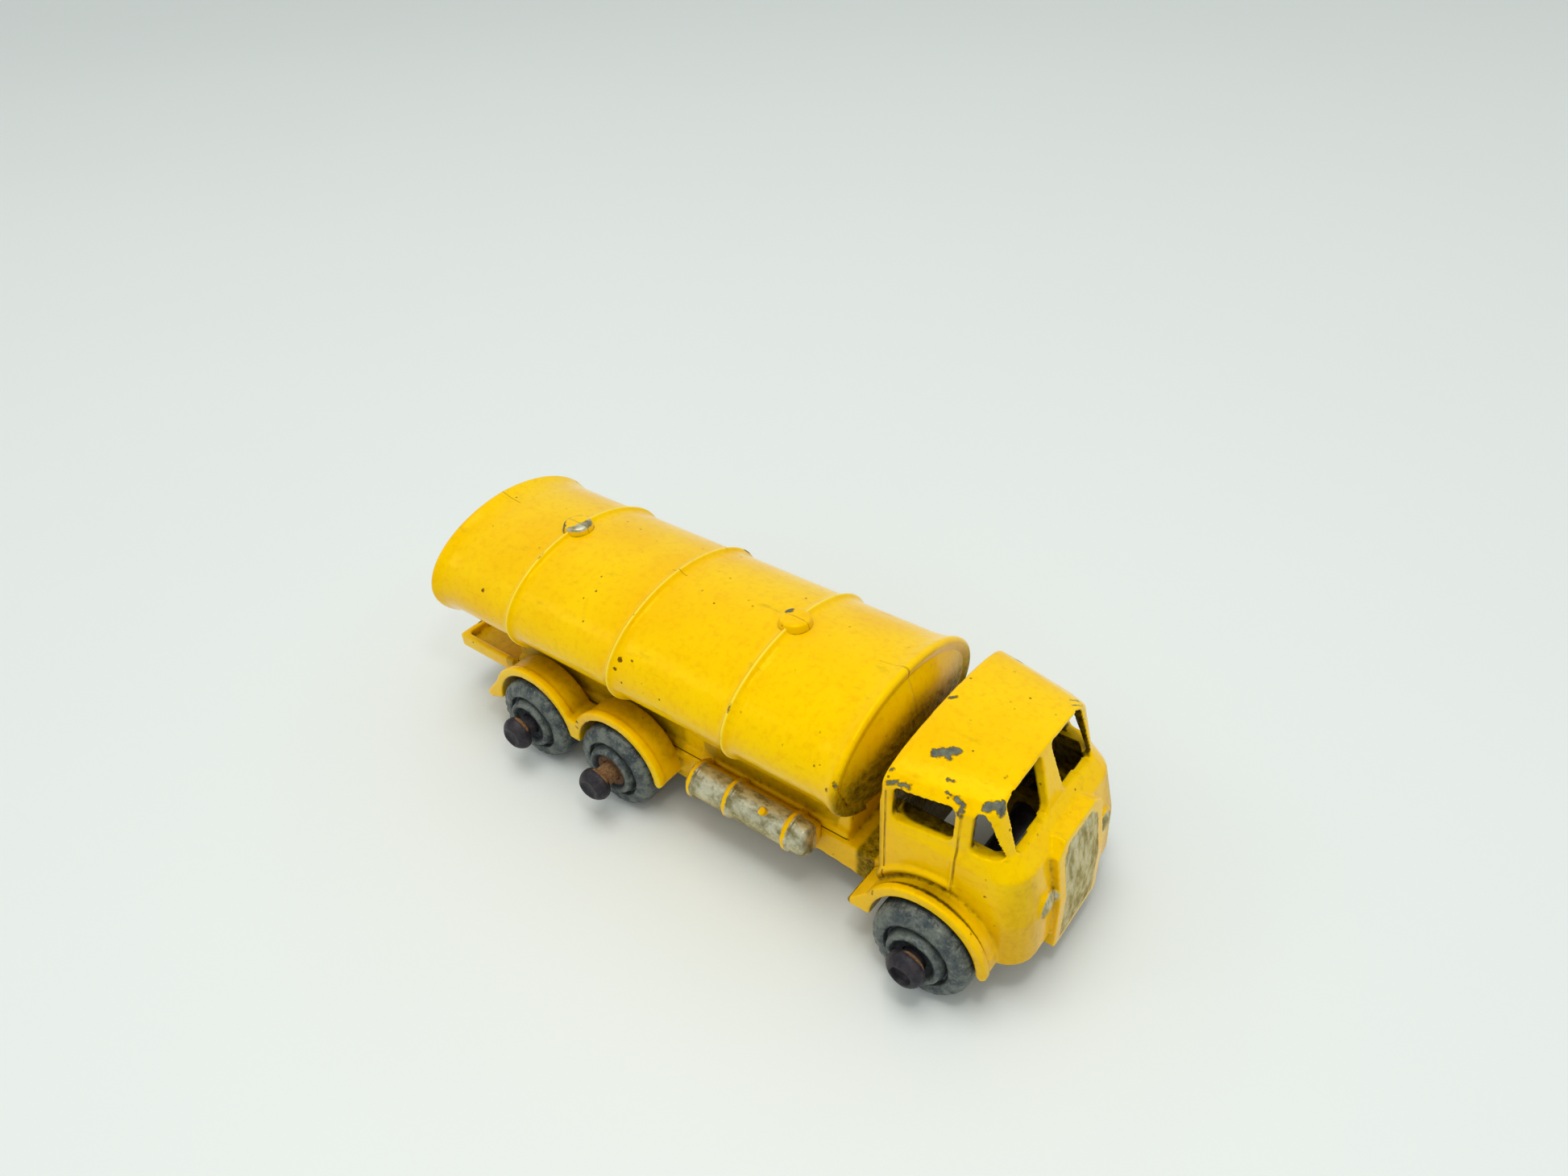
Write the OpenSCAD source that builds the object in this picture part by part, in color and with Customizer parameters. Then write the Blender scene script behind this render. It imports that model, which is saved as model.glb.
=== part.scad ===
// Small die-cast toy tanker lorry with a six-wheel chassis.
// +X points to the cab, +Y to the lorry's left, +Z up. The wheels stand on z = 0.
// The origin is under the middle of the lorry. All lengths are in millimetres.

/* [Wheels and axles] */
// Radius of a wheel
wheel_r = 3.35; // [3.2:0.05:3.45]
// Thickness of a wheel's tyre
wheel_w = 2.5; // [2.3:0.1:2.6]
// Distance from the middle of the lorry to a front tyre's outer face
front_face_y = 9.1; // [9.0:0.05:9.2]
// Distance from the middle of the lorry to a middle or rear tyre's outer face
rear_face_y = 8.45; // [8.35:0.05:8.6]
// Place of the front axle along the lorry
front_axle_x = 19.4; // [19.2:0.1:19.6]
// Place of the middle axle along the lorry
middle_axle_x = -6.1; // [-6.3:0.1:-5.9]
// Distance from the middle axle to the rear axle
bogie_pitch = 8.4; // [8.2:0.1:8.6]
// Radius of an axle's shank
axle_r = 0.75; // [0.6:0.01:0.78]
// Gap between a shank and its hole, on the radius
axle_gap = 0.04; // [0.02:0.01:0.08]
// Radius of an axle's domed head
head_r = 1.25; // [1.15:0.05:1.35]
// Height of an axle's domed head
head_h = 1.15; // [1.0:0.05:1.2]
// Distance from the middle of an axle to the underside of a head
axle_reach = 9.6; // [9.55:0.01:9.7]

/* [Tank] */
// Half the width of the barrel, inside the bands
tank_half_w = 7.7; // [7.5:0.1:7.9]
// Half the height of the barrel, inside the bands
tank_half_h = 4.3; // [4.2:0.05:4.4]
// Height of the barrel's middle
tank_mid_z = 11.4; // [11.3:0.1:11.6]
// Rear end of the tank
tank_rear_x = -23.9; // [-24.2:0.1:-23.7]
// Length of the tank over its end rims
tank_len = 36.7; // [36.4:0.1:36.9]
// Thickness of the cast walls of the tank
tank_wall = 0.9; // [0.8:0.1:1.1]
// How far a band stands out of the barrel
band_proud = 0.42; // [0.3:0.02:0.5]
// Width of a band along the tank
band_w = 0.8; // [0.6:0.1:1.0]
// Distance from one band to the next
band_pitch = 9.95; // [9.8:0.05:10.1]

/* [Chassis] */
// Distance from the middle of the lorry to a rail's outer face
rail_y = 5.5; // [5.4:0.05:5.6]
// Thickness of a rail
rail_t = 0.9; // [0.8:0.05:1.0]
// Height of the chassis deck's top
deck_z = 4.9; // [4.8:0.05:5.0]
// Rear end of the chassis
chassis_rear_x = -25.5; // [-25.7:0.1:-25.3]

/* [Mudguards] */
// Clear gap between a tyre and its mudguard
guard_gap = 0.32; // [0.3:0.01:0.36]
// Thickness of a mudguard's sheet
guard_t = 0.5; // [0.45:0.05:0.55]
// Outer edge of the front mudguards
front_guard_y = 8.3; // [8.2:0.05:8.4]
// Outer edge of the rear mudguards
rear_guard_y = 7.95; // [7.9:0.05:8.2]

/* [Cab] */
// Back of the cab
cab_rear_x = 15.45; // [15.35:0.05:15.55]
// Half the cab's width at its back
cab_half_w = 7.05; // [7.0:0.05:7.1]
// Lowest edge of the cab's front
cab_low_z = 3.2; // [3.0:0.1:3.4]
// Height of the waistline, under the windows
waist_z = 10.9; // [10.8:0.1:11.0]
// Top of the roof's crown, at the back
roof_z = 15.15; // [15.0:0.05:15.3]
// Thickness of the cab's walls
cab_wall = 0.65; // [0.6:0.05:0.75]

/* [Hidden] */

enamel = "gold";
silver = "silver";
steel = "dimgray";
zinc = "slategray";
round_fn = 64;

// Axles: place along the lorry, and how far each one has slid sideways in its holes.
rear_axle_x = middle_axle_x - bogie_pitch;
axle_xs = [front_axle_x, middle_axle_x, rear_axle_x];
front_axle_shift = -0.07;
middle_axle_shift = -0.12;
rear_axle_shift = 0.2;
bore_r = axle_r + axle_gap;
boss_r = 1.35;

// Tank: places of its bands, and the squareness and the number of steps of its outline.
tank_front_x = tank_rear_x + tank_len;
tank_power = 1.92;
tank_steps = 96;
rear_band_x = tank_rear_x + 8.35;
end_set = 0.3;
end_dome = 1.0;
cap_r = 1.1;
cap_h = 0.3;

// Opening under the tank, through the barrel, the saddle and the deck.
slot_half_w = 3.5;
slot_x0 = -17.6;
slot_x1 = 10.4;

// Saddle between the deck and the barrel.
saddle_half_w = 4.9;
saddle_step_w = 5.2;
saddle_step_h = 0.5;
saddle_x0 = -19.1;
saddle_x1 = 11.95;

// Chassis: rail heights and the tray behind the rear wheels.
deck_t = 0.8;
rail_low_z = 2.45;
tray_front_x = -19.2;
tray_half_w = 5.75;
tray_low_z = 3.95;
tray_floor_t = 0.55;
tray_wall = 0.55;
tray_top_z = 5.15;
rail_front_x = 24.0;

// Mudguards: radii about the axle, and the height at which they end.
guard_in_r = wheel_r + guard_gap;
guard_out_r = guard_in_r + guard_t;
guard_rim_r = guard_out_r + 0.18;
guard_shift = -0.12;
guard_rim_w = 0.6;
guard_end_z = 3.5;
flare_t = 0.7;

// Side fuel tanks.
fuel_r = 1.25;
fuel_y = 6.45;
fuel_z = 4.8;
fuel_x0 = 0.1;
fuel_x1 = 10.1;
fuel_dome = 0.45;
strap_w = 0.45;
strap_proud = 0.16;
strap_lug_h = 0.9;
strap_xs = [0.45, 3.55, 8.45];
fuel_cap_x = 6.65;
fuel_cap_r = 0.28;

// Thickness of the thin slices that the cab's shape is stretched over.
slice_t = 0.02;

// Cab: inner edge of the window sills, the front face against height, and the grille on it.
sill_y = 5.2;
cab_front = [[0, 25.05], [cab_low_z, 25.0], [6.5, 24.9], [9.7, 24.25], [waist_z, 23.2], [14.1, 22.15]];
grille_front_x = 25.5;
grille_low_z = 1.9;
grille_top_z = 10.3;
grille_half_w = 2.9;
grille_border = 0.7;
bar_pitch = 0.62;
lamp_y = 3.85;
lamp_z = 6.7;
lamp_r = 0.75;

// Points of an oval with half-width a and half-height b. Power 2 is an ellipse, more is squarer.
function oval(a, b, n, steps) =
  [for (i = [0 : steps - 1])
    let (t = 360 * i / steps, c = cos(t), s = sin(t))
    [a * sign(c) * pow(abs(c), 2 / n), b * sign(s) * pow(abs(s), 2 / n)]];

// Front of the cab at height z.
function front_x(z) = lookup(z, cab_front);

// Extrudes an outline drawn in X and Z from y0 to y1.
module along_y(y0, y1) {
  translate([0, y1, 0]) rotate([90, 0, 0]) linear_extrude(y1 - y0) children();
}

// Extrudes an outline drawn in Y and Z from x0 to x1.
module along_x(x0, x1) {
  translate([x0, 0, 0]) rotate([90, 0, 90]) linear_extrude(x1 - x0) children();
}

// Draws the children on one side: "left" is as drawn, "right" is mirrored.
module on_side(side) {
  if (side == "left") {
    children();
  } else {
    mirror([0, 1, 0]) children();
  }
}

// Box between two corners.
module box(low, high) {
  translate(low) cube(high - low);
}

// Solid with the barrel's outline, grown by extra.
module tank_slice(extra, x0, x1) {
  along_x(x0, x1)
    translate([0, tank_mid_z])
      polygon(oval(tank_half_w + extra, tank_half_h + extra, tank_power, tank_steps));
}

// One raised band round the barrel, with a stepped round top, let into the saddle.
module tank_ring(x0, x1) {
  shoulder = 0.14;
  difference() {
    union() {
      tank_slice(band_proud - shoulder, x0, x1);
      tank_slice(band_proud, x0 + shoulder, x1 - shoulder);
    }
    tank_slice(0, x0 - 1, x1 + 1);
    box([saddle_x0, -saddle_half_w, 0], [saddle_x1, saddle_half_w, tank_mid_z]);
  }
}

// Domed end of the barrel, standing out from the flat end at x. Out is 1 to the front and -1 to the rear.
module tank_end(x, out) {
  rings = [[-0.05, 0], [-0.7, 0.5], [-1.8, 0.8], [-3.2, 1]];
  for (i = [0 : len(rings) - 2]) hull() {
    for (ring = [rings[i], rings[i + 1]]) {
      reach = x + out * end_dome * ring[1];
      tank_slice(ring[0], reach - slice_t, reach);
    }
  }
}

module tank_barrel() {
  color(enamel) difference() {
    union() {
      tank_slice(0, tank_rear_x + end_set, tank_front_x - end_set);
      tank_end(tank_rear_x + end_set + slice_t, -1);
      tank_end(tank_front_x - end_set, 1);
    }
    tank_slice(-tank_wall, tank_rear_x + end_set + tank_wall, tank_front_x - end_set - tank_wall);
    box([slot_x0, -slot_half_w, 0], [slot_x1, slot_half_w, tank_mid_z]);
  }
}

module tank_rim_rear() {
  color(enamel) tank_ring(tank_rear_x, tank_rear_x + band_w);
}

module tank_rim_front() {
  color(enamel) tank_ring(tank_front_x - band_w, tank_front_x);
}

// Band number i, counted from the rear.
module tank_band(i) {
  x = rear_band_x + i * band_pitch;
  color(enamel) tank_ring(x - band_w / 2, x + band_w / 2);
}

// Round filler cap on the crown of the tank, over band number i.
module filler_cap(i) {
  top_z = tank_mid_z + tank_half_h + band_proud;
  x = rear_band_x + i * band_pitch;
  color(enamel) difference() {
    translate([x, 0, tank_mid_z]) rotate_extrude($fn = round_fn)
      polygon([
        [0, 0], [cap_r, 0], [cap_r, top_z - tank_mid_z + cap_h * 0.6],
        [cap_r * 0.8, top_z - tank_mid_z + cap_h], [0, top_z - tank_mid_z + cap_h]
      ]);
    tank_slice(0, x - 3, x + 3);
    tank_ring(x - band_w / 2, x + band_w / 2);
  }
}

module tank_saddle() {
  color(enamel) difference() {
    union() {
      box([saddle_x0, -saddle_half_w, deck_z], [saddle_x1, saddle_half_w, tank_mid_z]);
      box([saddle_x0, -saddle_step_w, deck_z], [saddle_x1, saddle_step_w, deck_z + saddle_step_h]);
    }
    tank_slice(0, saddle_x0 - 1, saddle_x1 + 1);
    box([slot_x0, -slot_half_w, 0], [slot_x1, slot_half_w, tank_mid_z]);
  }
}

// Side view of one rail, with a round boss at each axle.
module rail_outline() {
  polygon([
    [tray_front_x, deck_z], [tray_front_x, tray_low_z], [tray_front_x + 1.6, rail_low_z],
    [8.6, rail_low_z], [9.8, rail_low_z + 0.35], [12.4, rail_low_z + 0.1], [13.4, rail_low_z - 0.15],
    [rail_front_x, rail_low_z - 0.15], [rail_front_x, deck_z]
  ]);
  for (x = axle_xs) translate([x, wheel_r]) circle(r = boss_r, $fn = round_fn);
}

module chassis_frame() {
  color(enamel) difference() {
    union() {
      for (side = ["left", "right"]) on_side(side) along_y(rail_y - rail_t, rail_y) rail_outline();
      box([tray_front_x, -rail_y, deck_z - deck_t], [cab_rear_x, rail_y, deck_z]);
      // Tray behind the rear wheels, with a low wall on three sides.
      difference() {
        box([chassis_rear_x, -tray_half_w, tray_low_z], [tray_front_x, tray_half_w, tray_top_z]);
        box([chassis_rear_x + tray_wall, tray_wall - tray_half_w, tray_low_z + tray_floor_t],
            [tray_front_x + 1, tray_half_w - tray_wall, tray_top_z + 1]);
      }
    }
    box([slot_x0, -slot_half_w, 0], [slot_x1, slot_half_w, tank_mid_z]);
    for (x = axle_xs)
      translate([x, 0, wheel_r]) rotate([90, 0, 0])
        cylinder(r = bore_r, h = 4 * rail_y, center = true, $fn = round_fn);
  }
}

// A strip with round ends between two points.
module strip(from, to, thickness) {
  run = to - from;
  translate(from) rotate(atan2(run[1], run[0])) {
    translate([0, -thickness / 2]) square([norm(run), thickness]);
    circle(r = thickness / 2, $fn = round_fn);
    translate([norm(run), 0]) circle(r = thickness / 2, $fn = round_fn);
  }
}

// Side view of the mudguard over the wheels at xs, with the given outer radius.
// Its rear end flares out behind the last wheel, and a bridge joins two arches.
module guard_outline(xs, r) {
  rear_x = min(xs) + guard_shift - guard_in_r;
  front_x = max(xs) + guard_shift + guard_in_r;
  tip = [rear_x, guard_end_z] + (len(xs) > 1 ? [-1.45, -0.25] : [-1.25, 0.3]);
  difference() {
    union() {
      difference() {
        for (x = xs) translate([x + guard_shift, wheel_r]) circle(r = r, $fn = round_fn);
        translate([rear_x - 3, guard_end_z - 10]) square([front_x - rear_x + 6, 10]);
      }
      strip([rear_x - 0.1, guard_end_z + 1.3], tip, flare_t);
      polygon([[rear_x + 0.5, guard_end_z + 2.6], tip + [-0.2, 0.25], tip + [0.2, -0.3], [rear_x + 0.1, guard_end_z]]);
      strip([front_x + 0.2, guard_end_z + 0.8], [front_x + 0.3, guard_end_z], guard_t);
      if (len(xs) > 1) {
        for (i = [0 : len(xs) - 2]) {
          x = (xs[i] + xs[i + 1]) / 2 + guard_shift;
          translate([x - bogie_pitch / 4, guard_end_z + 0.7]) square([bogie_pitch / 2, 1.0]);
          translate([x, guard_end_z + 0.7]) circle(r = 0.5, $fn = round_fn);
        }
      }
    }
    for (x = xs) translate([x + guard_shift, wheel_r]) circle(r = guard_in_r, $fn = round_fn);
  }
}

module mudguard(side, xs, outer_y) {
  color(enamel) on_side(side) {
    along_y(rail_y, outer_y) guard_outline(xs, guard_out_r);
    along_y(outer_y - guard_rim_w, outer_y) guard_outline(xs, guard_rim_r);
  }
}

// Outline of the cab seen from above: it narrows to the front and has round front corners.
module cab_plan(front, rear_w, front_w, corner_r) {
  ends = [for (a = [0 : 15 : 90]) [front - corner_r + corner_r * cos(a), front_w - corner_r + corner_r * sin(a)]];
  half = concat(ends, [[cab_rear_x, rear_w]]);
  mirrored = [for (i = [len(half) - 1 : -1 : 0]) [half[i][0], -half[i][1]]];
  polygon(concat(half, mirrored));
}

// Thin slice of the cab at height z, drawn in by inset.
module cab_slice(z, rear_w, front_w, corner_r, inset) {
  translate([0, 0, z]) linear_extrude(slice_t)
    cab_plan(front_x(z) - inset, rear_w - inset, front_w - inset, corner_r - inset / 2);
}

// Thin upright slice of the roof's crown at x.
module roof_slice(x, half_w, crown, inset) {
  spring_z = 13.6;
  along_x(x, x + slice_t)
    translate([0, spring_z])
      intersection() {
        polygon(oval(half_w - inset, crown - spring_z - inset, 2.4, 48));
        translate([-half_w, 0]) square([2 * half_w, crown]);
      }
}

// Whole shape of the cab, drawn in by inset on every side but the open floor and back.
module cab_solid(inset) {
  low_z = inset > 0 ? 0 : cab_low_z;
  hull() {
    cab_slice(low_z, cab_half_w, 6.7, 2.0, inset);
    cab_slice(6.5, cab_half_w, 6.65, 2.0, inset);
    cab_slice(9.7, cab_half_w, 6.5, 2.1, inset);
    cab_slice(waist_z, cab_half_w, 6.3, 2.1, inset);
  }
  hull() {
    cab_slice(waist_z, cab_half_w, 6.3, 2.1, inset);
    cab_slice(13.6, cab_half_w, 6.15, 1.9, inset);
    roof_slice(cab_rear_x, cab_half_w, roof_z, inset);
    roof_slice(front_x(14.1) - 0.1 - inset, 5.4, roof_z - 0.35, inset);
  }
}

// Windscreen pane on the left, seen from the front.
module windscreen_outline() {
  polygon([
    [0.6, 14.2], [0.75, 14.55], [4.0, 14.4], [4.6, 14.05],
    [4.75, 11.0], [4.45, 10.7], [1.25, 10.9], [0.95, 11.2]
  ]);
}

// Rounded door window, seen from the side.
module door_window_outline() {
  r = 0.5;
  low = [16.7, 11.7];
  high = [19.4, 13.25];
  for (x = [low[0], high[0]], z = [low[1], high[1]]) translate([x, z]) circle(r = r, $fn = 32);
  translate(low - [0, r]) square(high - low + [0, 2 * r]);
  translate(low - [r, 0]) square(high - low + [2 * r, 0]);
}

// Quarter window in front of the door, seen from the side.
module quarter_window_outline() {
  polygon([
    [20.9, 11.2], [20.9, 13.4], [21.1, 13.75], [21.4, 13.75],
    [21.75, 13.3], [22.75, 10.95], [22.6, 10.8], [21.1, 10.95]
  ]);
}

// Raised line round the door's front edge and the lip over the wheel arch, seen from the side.
module door_lines() {
  strip([20.45, 13.6], [20.2, 8.0], 0.22);
  difference() {
    translate([front_axle_x + guard_shift, wheel_r]) circle(r = guard_out_r + 0.8, $fn = round_fn);
    translate([front_axle_x + guard_shift, wheel_r]) circle(r = guard_out_r + 0.3, $fn = round_fn);
    translate([front_axle_x - 10, 0]) square([20, 5.3]);
  }
}

module cab_shell() {
  color(enamel) difference() {
    union() {
      cab_solid(0);
      for (side = ["left", "right"]) on_side(side) {
        // The raised lines follow the cab's side, a little outside it.
        intersection() {
          along_y(5, 8) door_lines();
          hull() {
            cab_slice(cab_low_z, cab_half_w + 0.14, 6.84, 2.0, 0);
            cab_slice(14.4, cab_half_w + 0.02, 5.7, 1.9, 0);
          }
        }
        // Bulge behind the headlamp.
        translate([front_x(lamp_z) - 0.6, lamp_y, lamp_z]) rotate([0, 90, 0])
          cylinder(r = lamp_r + 0.2, h = 0.72, $fn = round_fn);
      }
    }
    // Hollow inside, with a back wall and a thick sill under each side window.
    difference() {
      intersection() {
        cab_solid(cab_wall);
        box([cab_rear_x + cab_wall, -10, 0], [30, 10, 20]);
      }
      for (side = ["left", "right"]) on_side(side) {
        box([cab_rear_x, sill_y, 10.2], [20.5, 8, 11.2]);
        box([20.5, sill_y, 10.0], [22.7, 8, 10.85]);
      }
    }
    for (side = ["left", "right"]) on_side(side) {
      along_x(20, 27) windscreen_outline();
      along_y(3, 9) door_window_outline();
      along_y(3, 9) quarter_window_outline();
      // Wheel arch, and the foot of the mudguard's front end.
      along_y(rail_y, 10) translate([front_axle_x + guard_shift, wheel_r]) circle(r = guard_out_r, $fn = round_fn);
      along_y(rail_y, 10) guard_outline([front_axle_x], guard_out_r);
    }
    // The back wall stands on the deck, and the rails pass under the cab's front.
    box([0, -rail_y, 0], [cab_rear_x + 3, rail_y, deck_z]);
    box([cab_rear_x - 1, -10, 0], [cab_rear_x + 1, 10, deck_z]);
    box([20, -rail_y, 0], [rail_front_x, -rail_y + rail_t, deck_z]);
    box([20, rail_y - rail_t, 0], [rail_front_x, rail_y, deck_z]);
    for (side = ["left", "right"]) on_side(side) headlamp_solid();
  }
}

// Front outline of the grille, drawn in by inset: chamfered at the top and clipped below.
module grille_outline(inset) {
  w = grille_half_w - inset;
  z0 = grille_low_z + inset;
  z1 = grille_top_z - inset;
  polygon([
    [-w, z0 + 0.2], [0.2 - w, z0], [w - 0.2, z0], [w, z0 + 0.2],
    [w, z1 - 0.7], [w - 1.0, z1], [1.0 - w, z1], [-w, z1 - 0.7]
  ]);
}

// Side view of the grille: depth behind its curved front, from back to set_back.
module grille_profile(depth, set_back) {
  front = [
    [grille_front_x, grille_low_z - 1], [grille_front_x, 6.0],
    [grille_front_x - 0.55, 10.0], [grille_front_x - 0.7, grille_top_z + 1]
  ];
  points = concat(
    [for (p = front) [p[0] - set_back, p[1]]],
    [for (i = [len(front) - 1 : -1 : 0]) [front[i][0] - set_back - depth, front[i][1]]]
  );
  along_y(-5, 5) polygon(points);
}

module grille_surround() {
  color(enamel) difference() {
    intersection() {
      grille_profile(1.4, 0.12);
      along_x(20, 30) grille_outline(0);
    }
    cab_solid(0);
    intersection() {
      grille_profile(0.45, 0);
      along_x(20, 30) grille_outline(grille_border);
    }
  }
}

module grille_plate() {
  color(silver) {
    intersection() {
      grille_profile(0.35, 0.1);
      along_x(20, 30) grille_outline(grille_border);
    }
    // Upright bars of the radiator grille.
    intersection() {
      grille_profile(0.2, 0);
      along_x(20, 30) intersection() {
        grille_outline(grille_border + 0.15);
        for (i = [-2 : 2]) translate([i * bar_pitch - 0.12, 0]) square([0.24, grille_top_z]);
      }
    }
  }
}

// Round lens with a domed front on the left side of the cab's front.
module headlamp_solid() {
  translate([front_x(lamp_z) - 0.3, lamp_y, lamp_z]) rotate([0, 90, 0])
    rotate_extrude($fn = round_fn)
      polygon(concat([[0, 0]], [for (a = [0 : 15 : 90]) [lamp_r * cos(a), 0.35 + 0.25 * sin(a)]], [[0, 0.6]]));
}

module headlamp(side) {
  color(silver) on_side(side) headlamp_solid();
}

// Long fuel tank along the rail, with domed ends.
module fuel_tank(side) {
  run = fuel_x1 - fuel_x0;
  dome = [for (a = [90 : -15 : 0]) [fuel_r - fuel_dome + fuel_dome * sin(a), run - fuel_dome + fuel_dome * cos(a)]];
  foot = [for (a = [0 : 15 : 90]) [fuel_r - fuel_dome + fuel_dome * sin(a), fuel_dome - fuel_dome * cos(a)]];
  color(silver) on_side(side) difference() {
    translate([fuel_x0, fuel_y, fuel_z]) rotate([0, 90, 0])
      rotate_extrude($fn = round_fn) polygon(concat([[0, 0]], foot, dome, [[0, run]]));
    box([fuel_x0 - 1, 0, 0], [fuel_x1 + 1, rail_y, deck_z]);
  }
}

// Three straps round the fuel tank, each with a lug that stands on the deck.
module fuel_tank_straps(side) {
  color(enamel) on_side(side) for (x = strap_xs) difference() {
    union() {
      translate([x, fuel_y, fuel_z]) rotate([0, 90, 0])
        cylinder(r = fuel_r + strap_proud, h = strap_w, $fn = round_fn);
      box([x, saddle_step_w, deck_z], [x + strap_w, fuel_y, fuel_z + strap_lug_h]);
    }
    box([x - 1, 0, 0], [x + strap_w + 1, saddle_step_w, tank_mid_z]);
    translate([x - 1, fuel_y, fuel_z]) rotate([0, 90, 0])
      cylinder(r = fuel_r, h = strap_w + 2, $fn = round_fn);
    box([x - 1, 0, 0], [x + strap_w + 1, rail_y, deck_z]);
  }
}

// Small filler on the fuel tank's outer shoulder.
module fuel_filler(side) {
  color(enamel) on_side(side) difference() {
    translate([fuel_cap_x, fuel_y, fuel_z]) rotate([-32, 0, 0]) cylinder(r = fuel_cap_r, h = fuel_r + 0.4, $fn = 32);
    translate([fuel_cap_x - 1, fuel_y, fuel_z]) rotate([0, 90, 0]) cylinder(r = fuel_r, h = 2, $fn = round_fn);
  }
}

// Pin with a domed head at each end. Its place between the wheels is set by shift.
module axle(x, shift) {
  head = [for (a = [0 : 15 : 90]) [head_r * cos(a), axle_reach + head_h * sin(a)]];
  color(steel) translate([x, shift, wheel_r]) rotate([90, 0, 0]) {
    cylinder(r = axle_r, h = 2 * axle_reach, center = true, $fn = round_fn);
    for (end = [0, 1]) mirror([0, 0, end])
      rotate_extrude($fn = round_fn) polygon(concat([[0, axle_reach]], head));
  }
}

// Cast wheel with its outer face at face_y: tyre with a swelling side, ring groove, disc and dished hub.
// Each corner is a radius and a distance from the face.
module wheel(x, face_y, side) {
  outline = [
    [bore_r, 0.3 - wheel_w], [1.6, 0.3 - wheel_w], [2.0, -wheel_w], [wheel_r - 0.25, -wheel_w],
    [wheel_r, 0.25 - wheel_w], [wheel_r, -0.75], [wheel_r - 0.1, -0.45], [3.0, -0.15],
    [2.65, 0], [2.25, 0], [2.15, -0.35], [1.95, -0.35],
    [1.9, 0.1], [1.75, 0.4], [1.5, 0.4], [1.4, 0.25], [bore_r, 0.25]
  ];
  color(zinc) on_side(side) translate([x, face_y, wheel_r]) rotate([-90, 0, 0])
    rotate_extrude($fn = 96) polygon(outline);
}

chassis_frame();
tank_saddle();
tank_barrel();
tank_rim_rear();
tank_band(0);  // tank_band_rear
tank_band(1);  // tank_band_middle
tank_band(2);  // tank_band_front
tank_rim_front();
filler_cap(0);  // filler_cap_rear
filler_cap(2);  // filler_cap_front
cab_shell();
grille_surround();
grille_plate();
headlamp("left");  // headlamp_left
headlamp("right");  // headlamp_right
mudguard("left", [front_axle_x], front_guard_y);  // mudguard_front_left
mudguard("right", [front_axle_x], front_guard_y);  // mudguard_front_right
mudguard("left", [rear_axle_x, middle_axle_x], rear_guard_y);  // mudguard_rear_left
mudguard("right", [rear_axle_x, middle_axle_x], rear_guard_y);  // mudguard_rear_right
fuel_tank("left");  // fuel_tank_left
fuel_tank("right");  // fuel_tank_right
fuel_tank_straps("left");  // fuel_tank_straps_left
fuel_tank_straps("right");  // fuel_tank_straps_right
fuel_filler("left");  // fuel_filler_left
fuel_filler("right");  // fuel_filler_right
axle(front_axle_x, front_axle_shift);  // axle_front
axle(middle_axle_x, middle_axle_shift);  // axle_middle
axle(rear_axle_x, rear_axle_shift);  // axle_rear
wheel(front_axle_x, front_face_y, "left");  // wheel_front_left
wheel(front_axle_x, front_face_y, "right");  // wheel_front_right
wheel(middle_axle_x, rear_face_y, "left");  // wheel_middle_left
wheel(middle_axle_x, rear_face_y, "right");  // wheel_middle_right
wheel(rear_axle_x, rear_face_y, "left");  // wheel_rear_left
wheel(rear_axle_x, rear_face_y, "right");  // wheel_rear_right
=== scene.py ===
"""Looks of the small die-cast toy tanker lorry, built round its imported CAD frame.

The body casting is skinned as one soft surface over the CAD nodes and then cut back into one piece per
node. The tank's bands, rims and caps, the wheels and the pins are swept or turned. Lengths inside this
script are in millimetres, in the row frame, and become metres when a mesh is made.
"""

import math

import bpy
import numpy as np
from mathutils import Matrix, Vector, noise
from mathutils.bvhtree import BVHTree


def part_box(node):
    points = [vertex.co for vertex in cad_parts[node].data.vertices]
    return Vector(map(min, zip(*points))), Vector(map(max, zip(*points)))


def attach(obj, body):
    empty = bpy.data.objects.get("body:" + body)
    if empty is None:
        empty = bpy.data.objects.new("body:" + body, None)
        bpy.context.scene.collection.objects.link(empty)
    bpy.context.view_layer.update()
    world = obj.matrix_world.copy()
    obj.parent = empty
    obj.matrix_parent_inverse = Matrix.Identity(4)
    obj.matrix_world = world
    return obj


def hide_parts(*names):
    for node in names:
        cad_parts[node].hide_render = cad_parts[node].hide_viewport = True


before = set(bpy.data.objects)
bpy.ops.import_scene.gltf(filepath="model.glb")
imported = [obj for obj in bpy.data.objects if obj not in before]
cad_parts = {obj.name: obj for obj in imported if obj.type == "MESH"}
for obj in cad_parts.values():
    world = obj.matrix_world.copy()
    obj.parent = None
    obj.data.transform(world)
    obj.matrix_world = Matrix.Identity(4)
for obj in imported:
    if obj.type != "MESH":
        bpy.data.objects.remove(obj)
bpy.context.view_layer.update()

# Without a set seed, mathutils' noise vectors differ from run to run.
noise.seed_set(7)

MM = 0.001
TINY = 1e-12


# ---------------------------------------------------------------------------------------------
# Meshes as arrays
# ---------------------------------------------------------------------------------------------

def read_mesh(mesh):
    """Vertices in millimetres and triangles of a Blender mesh, as arrays."""
    points = np.empty(len(mesh.vertices) * 3)
    mesh.vertices.foreach_get("co", points)
    mesh.calc_loop_triangles()
    triangles = np.empty(len(mesh.loop_triangles) * 3, int)
    mesh.loop_triangles.foreach_get("vertices", triangles)
    return points.reshape(-1, 3) / MM, triangles.reshape(-1, 3)


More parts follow.
